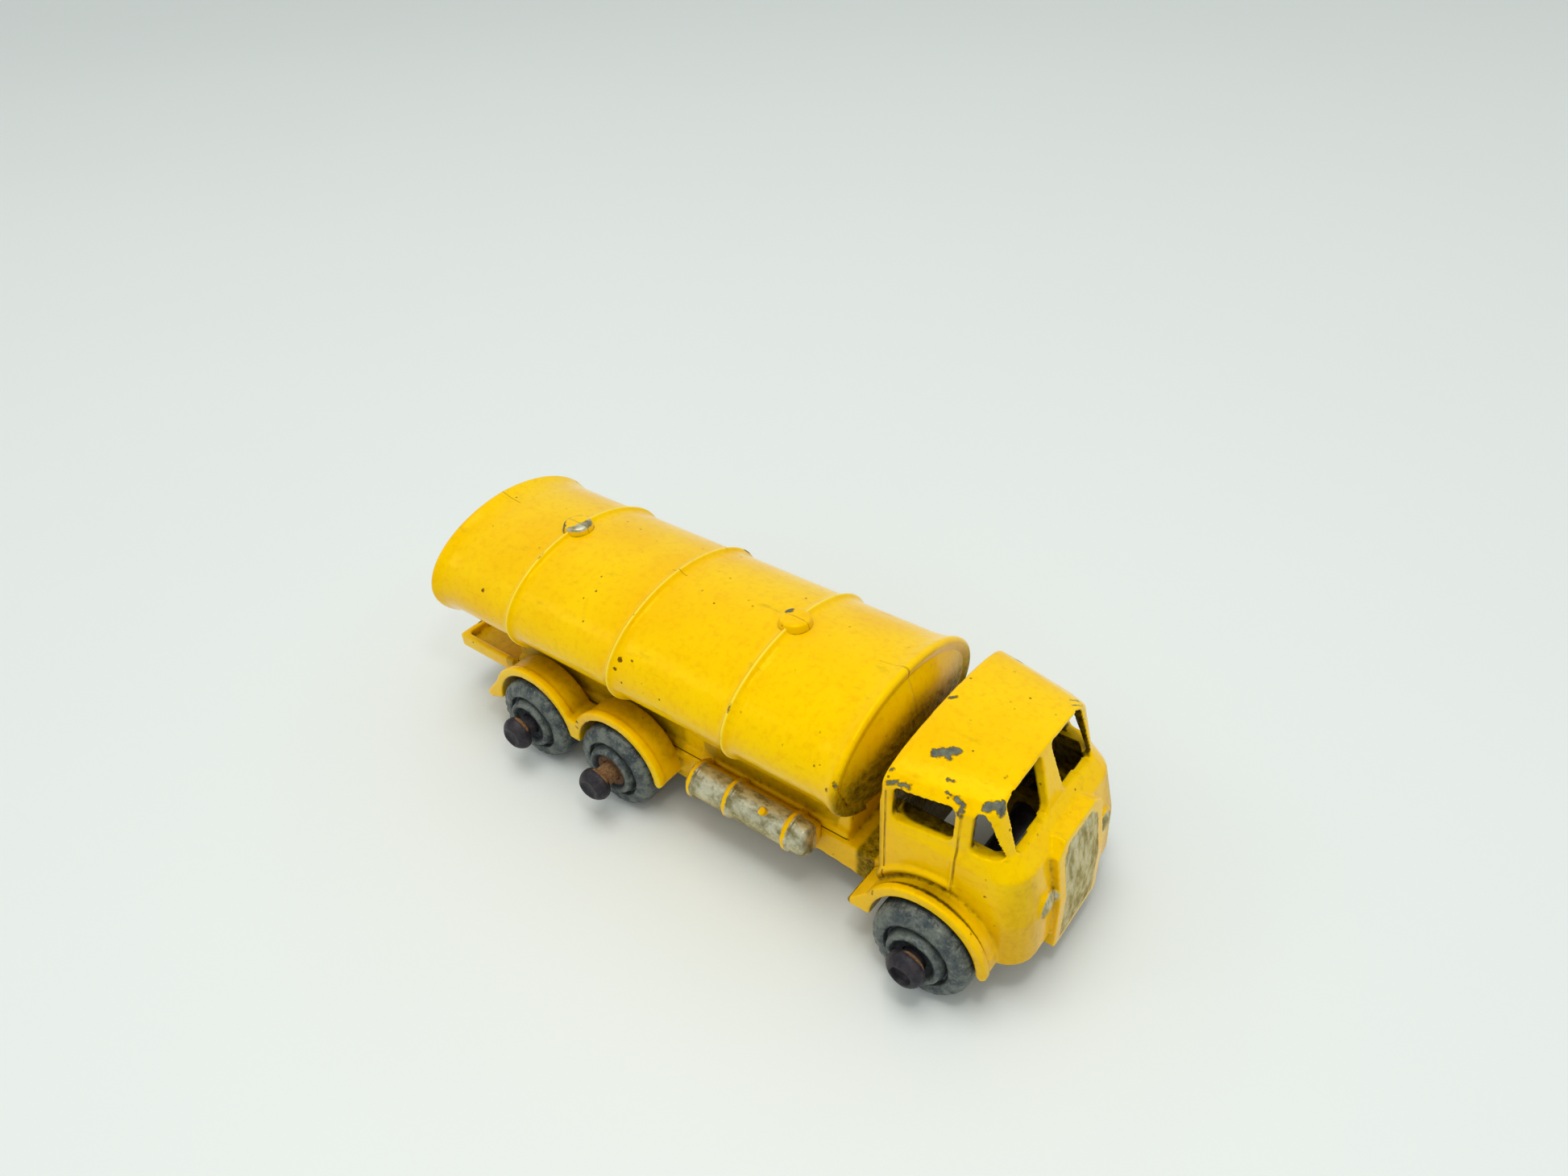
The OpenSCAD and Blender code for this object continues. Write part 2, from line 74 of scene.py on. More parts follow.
def make_mesh(name, points, faces):
    """A smooth-shaded mesh from points in millimetres and faces with equal numbers of corners."""
    corners = faces.shape[1]
    mesh = bpy.data.meshes.new(name)
    mesh.vertices.add(len(points))
    mesh.vertices.foreach_set("co", (points * MM).ravel())
    mesh.loops.add(faces.size)
    mesh.loops.foreach_set("vertex_index", faces.ravel())
    mesh.polygons.add(len(faces))
    mesh.polygons.foreach_set("loop_start", np.arange(0, faces.size, corners))
    mesh.update(calc_edges=True)
    mesh.shade_smooth()
    return mesh


def add_object(name, mesh):
    """Puts a mesh in the scene as an object."""
    made = bpy.data.objects.new(name, mesh)
    bpy.context.scene.collection.objects.link(made)
    return made


def voxel_skin(points, triangles, voxel):
    """One closed surface of even quads round overlapping or touching solids."""
    source = add_object("skin_source", make_mesh("skin_source", points, triangles))
    remesh = source.modifiers.new("remesh", "REMESH")
    remesh.mode = "VOXEL"
    remesh.voxel_size = voxel * MM
    evaluated = source.evaluated_get(bpy.context.evaluated_depsgraph_get())
    mesh = evaluated.to_mesh()
    skin = np.empty(len(mesh.vertices) * 3)
    mesh.vertices.foreach_get("co", skin)
    quads = np.empty(len(mesh.loops), int)
    mesh.loops.foreach_get("vertex_index", quads)
    evaluated.to_mesh_clear()
    bpy.data.objects.remove(source)
    return skin.reshape(-1, 3) / MM, quads.reshape(-1, 4)


class Skin:
    """A quad surface with the neighbour sums that smoothing needs."""

    def __init__(self, points, quads):
        self.points = points
        self.quads = quads
        edges = np.concatenate([quads[:, [i, (i + 1) % 4]] for i in range(4)])
        edges = np.unique(np.sort(edges, axis=1), axis=0)
        self.a, self.b = edges.T
        self.degree = np.maximum(self.spread(np.ones(len(points))), 1)

    def spread(self, values):
        """Sum of each point's neighbours' values."""
        count = len(values)
        to_b = np.bincount(self.b, weights=values[self.a], minlength=count)
        to_a = np.bincount(self.a, weights=values[self.b], minlength=count)
        return to_a + to_b

    def smooth(self, values, rounds, strength=0.5):
        """Rows of values averaged with their neighbours' a number of times."""
        share = strength if np.isscalar(strength) else strength[:, None]
        for _ in range(rounds):
            near = np.stack([self.spread(column) for column in values.T], axis=1) / self.degree[:, None]
            values = values + (near - values) * share
        return values

    def normals(self):
        """Unit normal at each point."""
        p = self.points
        q = self.quads
        face = np.cross(p[q[:, 2]] - p[q[:, 0]], p[q[:, 3]] - p[q[:, 1]])
        total = np.stack([
            sum(np.bincount(q[:, corner], weights=face[:, axis], minlength=len(p)) for corner in range(4))
            for axis in range(3)
        ], axis=1)
        return total / np.maximum(np.linalg.norm(total, axis=1, keepdims=True), TINY)


# ---------------------------------------------------------------------------------------------
# Camera, light and floor
# ---------------------------------------------------------------------------------------------

# Where the camera looks from: degrees round from the right side towards the front, degrees up, and tilt.
VIEW_AZIMUTH, VIEW_ELEVATION, VIEW_ROLL = 39.165, 36.514, -3.027
CAMERA_PLACE = (39.23, -43.79, 60.01)
LENS_MM = 25.51
SENSOR_MM = 36.0


def make_camera():
    """A phone's wide lens, held above the right front corner and a little tilted."""
    azimuth, elevation, roll = (math.radians(v) for v in (VIEW_AZIMUTH, VIEW_ELEVATION, VIEW_ROLL))
    data = bpy.data.cameras.new("camera")
    data.sensor_width = SENSOR_MM
    data.lens = LENS_MM
    data.clip_start = 0.005
    data.clip_end = 10
    back = Vector((
        math.sin(azimuth) * math.cos(elevation),
        -math.cos(azimuth) * math.cos(elevation),
        math.sin(elevation),
    ))
    level = (-back).to_track_quat("-Z", "Y").to_matrix().to_4x4()
    place = Matrix.Translation(Vector(CAMERA_PLACE) * MM)
    camera = add_object("camera", data)
    camera.matrix_world = place @ level @ Matrix.Rotation(roll, 4, "Z")
    bpy.context.scene.camera = camera


def add_area_light(name, place, target, size, power, colour):
    """A rectangular soft light at a place in metres, turned to a target."""
    data = bpy.data.lights.new(name, "AREA")
    data.shape = "RECTANGLE"
    data.size, data.size_y = size
    data.energy = power
    data.color = colour
    light = add_object(name, data)
    light.location = place
    light.rotation_mode = "QUATERNION"
    light.rotation_quaternion = (Vector(target) - Vector(place)).to_track_quat("-Z", "Y")


def make_lights():
    """A bright even tent, a soft box overhead, a weak one on the left and a small near one for glints."""
    world = bpy.data.worlds.new("world")
    bpy.context.scene.world = world
    world.use_nodes = True
    background = world.node_tree.nodes["Background"]
    background.inputs["Color"].default_value = (0.95, 1.0, 0.985, 1)
    background.inputs["Strength"].default_value = 0.66
    middle = (0, 0, 0.01)
    add_area_light("overhead", (-0.01, -0.01, 0.40), middle, (0.24, 0.18), 0.52, (1.0, 0.99, 0.96))
    add_area_light("side", (-0.26, -0.24, 0.30), middle, (0.10, 0.10), 0.065, (1.0, 0.99, 0.97))
    add_area_light("glint", (0.034, -0.026, 0.095), middle, (0.014, 0.010), 0.009, (1.0, 0.98, 0.9))


def make_floor():
    """A pale paper sheet that curves up far behind the lorry."""
    half = 1500.0
    bend_at = 380.0
    bend_run = 300.0
    top_run = 900.0
    bend = np.linspace(bend_at, bend_at + bend_run, 25)
    run = np.concatenate([[-half], bend, [bend_at + top_run]])
    rise = np.where(run > bend_at, (run - bend_at) ** 2 / top_run, 0)
    points = np.array([[x, y, z] for y, z in zip(run, rise) for x in (-half, half)])
    turn = math.radians(VIEW_AZIMUTH)
    spin = np.array([[math.cos(turn), -math.sin(turn), 0], [math.sin(turn), math.cos(turn), 0], [0, 0, 1]])
    faces = np.array([[2 * i, 2 * i + 1, 2 * i + 3, 2 * i + 2] for i in range(len(run) - 1)])
    floor = add_object("floor", make_mesh("floor", points @ spin.T, faces))
    return floor


# ---------------------------------------------------------------------------------------------
# Node materials
# ---------------------------------------------------------------------------------------------

class Tree:
    """Short ways to build a material's nodes. A socket or a plain number may be passed for any input."""

    def __init__(self, name):
        self.material = bpy.data.materials.new(name)
        self.material.use_nodes = True
        self.nodes = self.material.node_tree.nodes
        self.links = self.material.node_tree.links
        self.shader = self.nodes["Principled BSDF"]
        self.place = self.node("ShaderNodeTexCoord").outputs["Object"]

    def node(self, kind, **settings):
        made = self.nodes.new(kind)
        for key, value in settings.items():
            setattr(made, key, value)
        return made

    def feed(self, socket, value):
        if isinstance(value, bpy.types.NodeSocket):
            self.links.new(value, socket)
        elif hasattr(value, "__len__") and len(value) == 3 and socket.type == "RGBA":
            socket.default_value = (*value, 1)
        else:
            socket.default_value = value

    def set(self, name, value):
        self.feed(self.shader.inputs[name], value)

    def attribute(self, name):
        return self.node("ShaderNodeAttribute", attribute_name=name).outputs["Fac"]

    def math(self, operation, a, b):
        made = self.node("ShaderNodeMath", operation=operation)
        self.feed(made.inputs[0], a)
        self.feed(made.inputs[1], b)
        return made.outputs[0]

    def add(self, a, b):
        return self.math("ADD", a, b)

    def times(self, a, b):
        return self.math("MULTIPLY", a, b)

    def flip(self, value):
        """1 minus a value."""
        return self.math("SUBTRACT", 1.0, value)

    def swing(self, value, amount):
        """A noise moved down to run either side of 0, and scaled."""
        return self.times(self.add(value, -0.5), amount)

    def most(self, a, b):
        return self.math("MAXIMUM", a, b)

    def ramp(self, value, low, high, out_low=0.0, out_high=1.0):
        """Smooth step of a value from low to high."""
        made = self.node("ShaderNodeMapRange", interpolation_type="SMOOTHSTEP")
        for socket, v in zip(made.inputs, (value, low, high, out_low, out_high)):
            self.feed(socket, v)
        return made.outputs[0]

    def noise(self, per_mm, detail=3.0, rough=0.55, stretch=None, warp=0.0):
        """Fractal noise with so many cells a millimetre, from 0 to 1."""
        place = self.place
        if stretch:
            made = self.node("ShaderNodeVectorMath", operation="MULTIPLY")
            self.feed(made.inputs[0], place)
            made.inputs[1].default_value = stretch
            place = made.outputs[0]
        made = self.node("ShaderNodeTexNoise")
        self.feed(made.inputs["Vector"], place)
        self.feed(made.inputs["Scale"], per_mm / MM)
        self.feed(made.inputs["Detail"], detail)
        self.feed(made.inputs["Roughness"], rough)
        self.feed(made.inputs["Distortion"], warp)
        return made.outputs["Fac"]

    def cells(self, per_mm):
        """Distance to the nearest of scattered points, in cells."""
        made = self.node("ShaderNodeTexVoronoi")
        self.feed(made.inputs["Vector"], self.place)
        self.feed(made.inputs["Scale"], per_mm / MM)
        return made.outputs["Distance"]

    def shade(self, reach_mm):
        """How open the surface is to its surroundings within a reach: 1 is fully open."""
        made = self.node("ShaderNodeAmbientOcclusion", samples=8)
        self.feed(made.inputs["Distance"], reach_mm * MM)
        return made.outputs["AO"]

    def mix(self, share, a, b):
        """Colour a where share is 0 and b where it is 1."""
        made = self.node("ShaderNodeMix", data_type="RGBA")
        self.feed(made.inputs["Factor"], share)
        self.feed(made.inputs["A"], a)
        self.feed(made.inputs["B"], b)
        return made.outputs["Result"]

    def blend(self, share, a, b):
        """Number a where share is 0 and b where it is 1."""
        made = self.node("ShaderNodeMix", data_type="FLOAT")
        self.feed(made.inputs["Factor"], share)
        self.feed(made.inputs["A"], a)
        self.feed(made.inputs["B"], b)
        return made.outputs["Result"]

    def bump(self, height, depth_mm, strength=1.0, under=None):
        made = self.node("ShaderNodeBump")
        self.feed(made.inputs["Height"], height)
        self.feed(made.inputs["Distance"], depth_mm * MM)
        self.feed(made.inputs["Strength"], strength)
        if under:
            self.feed(made.inputs["Normal"], under)
        return made.outputs["Normal"]


def srgb(red, green, blue):
    """Linear colour from 0 to 255 screen values."""
    return tuple((v / 255) ** 2.2 for v in (red, green, blue))


def yellow_paint(t, edge, fine, shut_in):
    """Mottled yellow enamel, with painted shade where shut in and a painted highlight on proud edges."""
    broad = t.noise(0.12, 2)
    yellow = t.mix(t.ramp(broad, 0.35, 0.65), srgb(255, 206, 0), srgb(250, 193, 0))
    yellow = t.mix(t.times(t.ramp(fine, 0.45, 0.72), 0.36), yellow, srgb(236, 166, 0))
    # Painted shade: shut-in places turn a deeper gold.
    yellow = t.mix(t.times(t.ramp(shut_in, 0.12, 0.6), 0.7), yellow, srgb(196, 150, 0))
    # Painted highlight: proud edges and band crests turn paler.
    return t.mix(t.times(t.ramp(edge, 0.25, 0.8), 0.6), yellow, srgb(255, 234, 84))


def dirt_and_shade_share(t, cavity, soot_and_shade, fine, shut_in):
    """How much grime and painted shade the enamel gets: both in corners, thin streaks and specks elsewhere.
    """
    # Corners and shut-in places get grime and painted shade together.
    deep = t.add(t.times(cavity, 0.95), t.times(shut_in, 0.62))
    corners = t.times(t.ramp(t.add(deep, t.swing(fine, 0.8)), 0.36, 0.98), 0.9)
    soot_and_shade_part = t.times(soot_and_shade, t.ramp(fine, 0.2, 0.75, 0.6, 1.0))
    speck = t.times(t.ramp(t.cells(0.9), 0.1, 0.05), t.ramp(t.noise(0.3, 2), 0.46, 0.6))
    streak = t.times(t.ramp(t.noise(0.8, 4, 0.6, stretch=(0.35, 1.0, 1.6)), 0.62, 0.78), 0.3)
    return t.most(t.most(corners, soot_and_shade_part), t.most(t.times(speck, 0.85), streak))


def grime_and_shade_colour(t, inner, fine):
    """Grainy dark brown for grime and painted shade outside, and even dark brown for both inside."""
    outside = t.mix(t.ramp(t.noise(7.0, 3, 0.6), 0.38, 0.6), srgb(106, 86, 12), srgb(44, 40, 12))
    inside = t.mix(t.ramp(fine, 0.3, 0.7), srgb(112, 88, 20), srgb(50, 38, 8))
    return t.mix(inner, outside, inside)


def silver_paint(t, dirt_and_shade, fine):
    """Silver paint, brushed on thinly, with grime and painted shade."""
    brushed = t.noise(1.6, 5, 0.65, stretch=(0.5, 1.0, 0.5))
    silver = t.mix(t.ramp(brushed, 0.38, 0.66), srgb(204, 201, 176), srgb(134, 127, 92))
    silver = t.mix(t.times(t.ramp(fine, 0.56, 0.72), 0.5), silver, srgb(104, 90, 52))
    return t.mix(t.times(dirt_and_shade, 0.85), silver, srgb(88, 74, 40))


def enamel_material():
    """Glossy yellow enamel over grey zinc: chips, grime and painted shade in corners, worn edges with a
    painted highlight, and silvered trim.

    The surface carries chip, stain, silver and seam, which are distances in millimetres (negative inside
    the first three), and cavity, edge wear and highlight, soot and shade, and inner grime and shade,
    which go from 0 to 1.
    """
    t = Tree("look_enamel")
    chip, stain, silver, seam = (t.attribute(name) for name in ("chip", "stain", "silver", "seam"))
    cavity, edge, soot_and_shade, inner = (t.attribute(name) for name in ("cavity", "edge", "soot_and_shade", "inner"))
    fine = t.noise(2.2, 4, 0.6)
    ragged = t.noise(3.5, 5, 0.65)
    ragged_mm = t.swing(ragged, 0.6)
    # Ambient occlusion: how shut in each place is, which paints shade into the colours below.
    shut_in = t.flip(t.shade(2.4))

    # Yellow with painted shade and highlight, then grime and painted shade, rust stains and the thin lines
    # of the casting.
    dirt_and_shade = dirt_and_shade_share(t, cavity, soot_and_shade, fine, shut_in)
    yellow = yellow_paint(t, edge, fine, shut_in)
    painted = t.mix(t.most(dirt_and_shade, inner), yellow, grime_and_shade_colour(t, inner, fine))
    stained = t.ramp(t.add(stain, t.swing(ragged, 0.5)), 0.05, -0.05)
    painted = t.mix(t.times(stained, 0.9), painted, srgb(84, 34, 12))
    line = t.ramp(t.add(seam, t.swing(fine, 0.08)), 0.085, 0.015)
    line = t.times(line, t.ramp(t.noise(0.45, 3), 0.35, 0.6, 0.2, 1.0))
    painted = t.mix(t.times(line, 0.75), painted, srgb(128, 84, 4))
    silver_mask = t.ramp(t.add(silver, t.times(ragged_mm, 0.7)), 0.05, -0.05)
    painted = t.mix(silver_mask, painted, silver_paint(t, dirt_and_shade, fine))

    # Chips down to bare metal, wear along the proud edges, and a dark rim round each chip.
    wear_mask = t.ramp(t.add(edge, t.swing(ragged, 1.5)), 0.98, 1.05)
    chip_mask = t.ramp(t.add(chip, ragged_mm), 0.03, -0.03)
    bare_mask = t.most(chip_mask, wear_mask)
    rim = t.times(t.ramp(t.add(chip, ragged_mm), 0.12, 0.03), 0.6)
    painted = t.mix(t.times(rim, t.flip(chip_mask)), painted, srgb(126, 88, 8))
    bare = t.mix(t.ramp(fine, 0.3, 0.7), srgb(116, 120, 106), srgb(80, 86, 86))
    t.set("Base Color", t.mix(bare_mask, painted, bare))

    # Gloss, and the relief of uneven paint, grime, lines and chips.
    t.set("Metallic", t.blend(bare_mask, t.times(silver_mask, 0.6), 0.4))
    rough = t.add(t.times(t.noise(0.7, 4), 0.14), 0.11)
    rough = t.blend(dirt_and_shade, rough, 0.8)
    rough = t.blend(silver_mask, rough, 0.4)
    t.set("Roughness", t.blend(bare_mask, rough, 0.55))
    t.set("Specular IOR Level", 0.45)
    t.set("Specular Tint", srgb(255, 215, 40))
    waves = t.bump(t.noise(0.55, 2), 0.08, 0.5)
    peel = t.bump(t.noise(3.0, 3), 0.012, 0.8, waves)
    gritty = t.bump(t.times(dirt_and_shade, ragged), 0.03, 0.8, peel)
    lines = t.bump(t.ramp(seam, 0.0, 0.09), 0.07, 1.0, gritty)
    t.set("Normal", t.bump(t.times(bare_mask, -1), 0.06, 1.0, lines))
    return t.material


def zinc_material():
    """Dull blue-grey zinc: edges paler as wear and painted highlight, corners darker as dirt and painted
    shade.
    """
    t = Tree("look_bare_zinc")
    cavity = t.attribute("cavity")
    edge = t.attribute("edge")
    rust = t.attribute("rust")
    mottled = t.noise(1.1, 5, 0.65)
    fine = t.noise(6.0, 4, 0.6)
    shut_in = t.flip(t.shade(1.6))
    grey = t.mix(t.ramp(mottled, 0.38, 0.64), srgb(58, 66, 70), srgb(108, 114, 106))
    grey = t.mix(t.times(t.ramp(fine, 0.52, 0.74), 0.5), grey, srgb(140, 146, 136))
    # Painted shade with dirt: corners and shut-in places go dark blue-grey.
    deep = t.add(t.times(cavity, 0.6), t.times(shut_in, 0.9))
    dirt_and_shade = t.ramp(t.add(deep, t.swing(mottled, 0.7)), 0.25, 0.95)
    grey = t.mix(t.times(dirt_and_shade, 0.9), grey, srgb(22, 27, 38))
    rusty = t.ramp(t.add(rust, t.swing(mottled, 0.6)), 0.3, 0.7)
    orange = t.mix(t.ramp(fine, 0.35, 0.65), srgb(142, 98, 58), srgb(92, 66, 48))
    grey = t.mix(t.times(rusty, 0.85), grey, orange)
    # Painted highlight with wear: proud edges go pale.
    rubbed_and_highlit = t.ramp(t.add(edge, t.swing(fine, 1.3)), 0.7, 1.0)
    t.set("Base Color", t.mix(t.times(rubbed_and_highlit, 0.7), grey, srgb(196, 200, 196)))
    t.set("Metallic", 0.35)
    t.set("Roughness", t.blend(dirt_and_shade, t.add(t.times(fine, 0.3), 0.24), 0.85))
    pits = t.bump(t.noise(1.6, 4, 0.6), 0.12, 0.8)
    t.set("Normal", t.bump(fine, 0.05, 1.0, pits))
    return t.material


def steel_material():
    """Axle steel: dark purple-brown heads, and orange rust on the shank."""
    t = Tree("look_axle_steel")
    rust = t.attribute("rust")
    mottled = t.noise(1.4, 5, 0.6)
    fine = t.noise(7.0, 4, 0.65)
    dark = t.mix(t.ramp(mottled, 0.35, 0.65), srgb(36, 34, 42), srgb(62, 56, 60))
    orange = t.mix(t.ramp(fine, 0.35, 0.65), srgb(148, 108, 68), srgb(98, 72, 48))
    colour = t.mix(t.ramp(t.add(rust, t.swing(mottled, 0.7)), 0.35, 0.65), dark, orange)
    t.set("Base Color", t.mix(t.times(t.ramp(fine, 0.6, 0.8), 0.3), colour, srgb(112, 104, 104)))
    t.set("Metallic", t.blend(rust, 0.45, 0.05))
    t.set("Roughness", t.blend(rust, t.add(t.times(fine, 0.3), 0.38), 0.85))
    t.set("Normal", t.bump(fine, 0.03, 0.8, t.bump(mottled, 0.08, 0.6)))
    return t.material


def paper_material():
    """Very pale cool paper with faint mottling and a few lint marks."""
    t = Tree("look_paper")
    tone = t.mix(t.noise(0.012, 3), (0.80, 0.83, 0.815), (0.83, 0.86, 0.84))
    lint = t.ramp(t.noise(0.5, 6, 0.7, warp=1.5), 0.73, 0.80)
    t.set("Base Color", t.mix(t.times(lint, 0.15), tone, (0.55, 0.56, 0.58)))
    t.set("Roughness", t.add(t.times(t.noise(0.2, 4), 0.15), 0.55))
    t.set("Normal", t.bump(t.noise(3.0, 3), 0.02, 0.4))
    return t.material


# ---------------------------------------------------------------------------------------------
# What the surface carries: chips, silver paint, soot and painted shade, hollows, and edges with wear and
# painted highlight
# ---------------------------------------------------------------------------------------------

# Places are (x, y, z): X forward, Y left, Z up. Marks on the left side and at the back are guesses.

# Chips down to the zinc: half-width, and the points that each one runs along.
CHIPS = [
    (0.27, [(17.3, -4.1, 14.8), (17.75, -3.7, 14.85), (18.2, -3.3, 14.85)]),
    (0.20, [(17.9, -3.6, 14.85), (18.05, -3.95, 14.8)]),
    (0.11, [(15.9, -6.9, 13.95), (16.4, -6.7, 14.1), (17.1, -6.5, 14.05)]),
    (0.13, [(19.7, -5.8, 14.1), (20.15, -5.9, 13.95), (20.2, -6.25, 13.5)]),
    (0.25, [(21.3, -5.35, 14.0), (21.9, -4.9, 14.15), (22.1, -5.1, 13.9)]),
    (0.05, [(18.75, -5.2, 14.5), (19.1, -5.1, 14.5)]),
    (0.04, [(19.0, -5.8, 14.2), (19.3, -5.8, 14.15)]),
    (0.06, [(15.7, -6.3, 14.4), (15.8, -6.2, 14.5)]),
    (0.05, [(15.7, 0.0, 15.1), (16.1, 0.4, 15.1)]),
    (0.06, [(21.3, -3.4, 14.65)]),
    (0.05, [(12.8, -7.7, 12.9), (12.85, -7.6, 12.2)]),
    (0.13, [(-15.55, -3.6, 15.7), (-15.55, -4.1, 15.5)]),
    (0.11, [(-15.5, -5.9, 14.7)]),
    (0.07, [(4.35, -1.9, 16.1), (4.35, -2.1, 16.1)]),
    (0.07, [(4.3, -3.2, 15.8)]),
    (0.11, [(4.35, -6.9, 13.9), (4.35, -7.1, 13.6)]),
    (0.08, [(4.35, 2.7, 15.95)]),
    (0.07, [(10.8, -4.95, 5.45)]),
    (0.06, [(-9.8, -7.95, 5.6)]),
    (0.06, [(-9.9, -7.95, 5.0)]),
    (0.16, [(-23.9, 4.5, 14.9), (-23.9, 5.3, 14.4)]),
    (0.12, [(-5.6, 6.9, 13.7), (-5.6, 7.3, 12.9)]),
    (0.20, [(17.0, 6.9, 9.8), (17.5, 6.95, 9.4)]),
    (0.12, [(16.0, 6.8, 14.0), (17.2, 6.5, 14.1)]),
    (0.14, [(-25.4, -3.9, 5.1), (-25.4, -3.0, 5.1)]),
]

# Pale scratches on the far front corner of the roof, like the chips.
PALE_SCRATCHES = [
    (0.05, [(21.3, 4.6, 14.5), (21.8, 5.1, 14.1), (22.0, 5.3, 13.5)]),
    (0.05, [(21.7, 4.2, 14.55), (22.1, 4.8, 14.2), (22.25, 5.0, 13.4)]),
    (0.04, [(21.9, 3.9, 14.5), (22.3, 4.6, 14.0), (22.4, 4.9, 13.2)]),
    (0.05, [(21.5, 5.0, 14.3), (21.9, 5.4, 13.6), (22.1, 5.6, 12.6)]),
]

# Brown rust stains in the enamel: half-width, and the points that each one runs along.
STAINS = [
    (0.20, [(-4.95, -7.0, 13.1)]),
    (0.10, [(-5.1, -7.4, 12.5)]),
    (0.09, [(-4.0, -6.85, 13.3)]),
    (0.13, [(-18.7, -7.05, 13.05)]),
    (0.07, [(-19.3, -7.7, 11.4)]),
    (0.07, [(6.2, -2.4, 15.5)]),
    (0.06, [(8.6, -7.15, 12.95)]),
    (0.07, [(11.4, -7.15, 12.95)]),
    (0.08, [(-3.5, 1.75, 15.6)]),
    (0.10, [(13.0, 4.5, 11.9)]),
    (0.08, [(22.2, -6.55, 9.7)]),
    (0.07, [(22.3, -6.6, 8.4)]),
    (0.12, [(2.0, 5.5, 14.7)]),
    (0.09, [(-12.0, 6.8, 13.4)]),
    (0.10, [(19.0, 2.5, 15.1)]),
    (0.05, [(12.7, -7.75, 12.7), (12.85, -7.5, 11.9), (12.9, -7.2, 11.3)]),
    (0.08, [(12.9, -7.1, 11.2), (12.9, -6.7, 10.2), (12.8, -6.5, 9.8)]),
    (0.05, [(12.3, -7.9, 12.2), (12.6, -7.7, 11.2)]),
    (0.09, [(11.6, -6.1, 6.7)]),
]

# Where along the fuel tanks their straps run.
STRAP_PLACES = (0.45, 3.55, 8.45)

# Ends (x, z) of the raised front edge of the door, and how far before it its dark line runs.
DOOR_FRONT = ((20.15, 13.5), (20.12, 7.8))
DOOR_LINE_GAP = 0.15


def run_distance(points, corners):
    """Distance from each point to a line through the corners."""
    corners = np.array(corners, float)
    if len(corners) == 1:
        return np.linalg.norm(points - corners[0], axis=1)
    best = np.full(len(points), np.inf)
    for a, b in zip(corners[:-1], corners[1:]):
        along = np.clip((points - a) @ (b - a) / ((b - a) @ (b - a)), 0, 1)
        best = np.minimum(best, np.linalg.norm(points - a - along[:, None] * (b - a), axis=1))
    return best


def nearest_run(points, runs):
    """Distance from each point to the edge of the nearest of some lines, each with its half-width."""
    return np.min([run_distance(points, corners) - half for half, corners in runs], axis=0)


def smooth_step(value, low, high):
    """0 below low, 1 above high, and an easy slope between."""
    share = np.clip((value - low) / (high - low), 0, 1)
    return share * share * (3 - 2 * share)


def line_in_side_view(x, z, start, end):
    """Distance, seen from the side, to a straight line between two places (x, z)."""
    return run_distance(np.stack([x, z], axis=1), [start, end])


def silver_distance(points):
    """Distance to the silver paint on grille plate, headlamps and fuel tanks, and to pale scratches."""
    x, y, z = points.T
    side = np.abs(y)
    grille = np.max([side - 2.2, np.abs(z - 6.1) - 3.75, 24.2 - x, (side + z - 11.3) * 0.7], axis=0)
    lamp = np.maximum(np.hypot(side - 3.75, z - 6.7) - 0.88, 24.4 - x)

    # The fuel tanks' rear sides, their straps except at the front, and the filler knobs stay yellow.
    strap = 0.2 - np.min([np.abs(x - place - 0.1) for place in STRAP_PLACES], axis=0)
    knob = 0.42 - np.linalg.norm(np.stack([x - 6.9, side - 7.35, z - 6.2]), axis=0)
    fuel = np.max([knob, z - 6.3, 6.05 - side, 0.25 - x, x - 10.25, np.minimum(strap, 9.6 - x)], axis=0)
    return np.min([grille, lamp, fuel, nearest_run(points, PALE_SCRATCHES)], axis=0)


def seam_distance(points, normals):
    """Distance to the thin lines of the casting: the mould's parting line, and the door's edges."""
    x, y, z = points.T
    side = np.abs(y)
    on_front_end = (x > 12.4) & (x < 14.0) & (z > 9.0)
    on_crown = (z > 13.0) & (x < 13.2)
    tank = np.where(on_front_end, side, np.where(on_crown, side + 0.035, 1.0))
    door = line_in_side_view(x - DOOR_LINE_GAP, z, *DOOR_FRONT)
    rear = line_in_side_view(x, z, (15.85, 13.4), (15.85, 5.6))
    flank = np.abs(normals[:, 1]) > 0.7
    cab = np.where(flank & (x > 15) & (side > 5.5), np.minimum(door, rear), 1.0)
    return np.minimum(tank, cab)


def cab_depth(x, side, z):
    """How far places lie inside the cab's outer walls, up to the radius of its front corners."""
    corner_r = 2.0
    rear_x = 15.45
    rear_w = 7.05
    front = np.interp(z, [3.2, 6.5, 9.7, 10.9, 14.1], [25.0, 24.9, 24.25, 23.2, 22.15])
    front_w = np.interp(z, [3.2, 9.7, 13.6], [6.7, 6.5, 6.15])
    flank = rear_w + (front_w - rear_w) * (x - rear_x) / (front - rear_x)
    short = np.maximum(corner_r - np.stack([front - x, flank - side, x - rear_x]), 0)
    return corner_r - np.sqrt(np.sum(short ** 2, axis=0))


def facing_share(points, normals, middle, weights=(1, 1, 1)):
    """1 where a surface faces a middle point and 0 where it faces away. A 0 weight ignores that axis."""
    away = (np.array(middle) - points) * weights
    facing = np.sum(normals * away, axis=1) / np.maximum(np.linalg.norm(away, axis=1), 0.1)
    return smooth_step(facing, 0.1, 0.45)


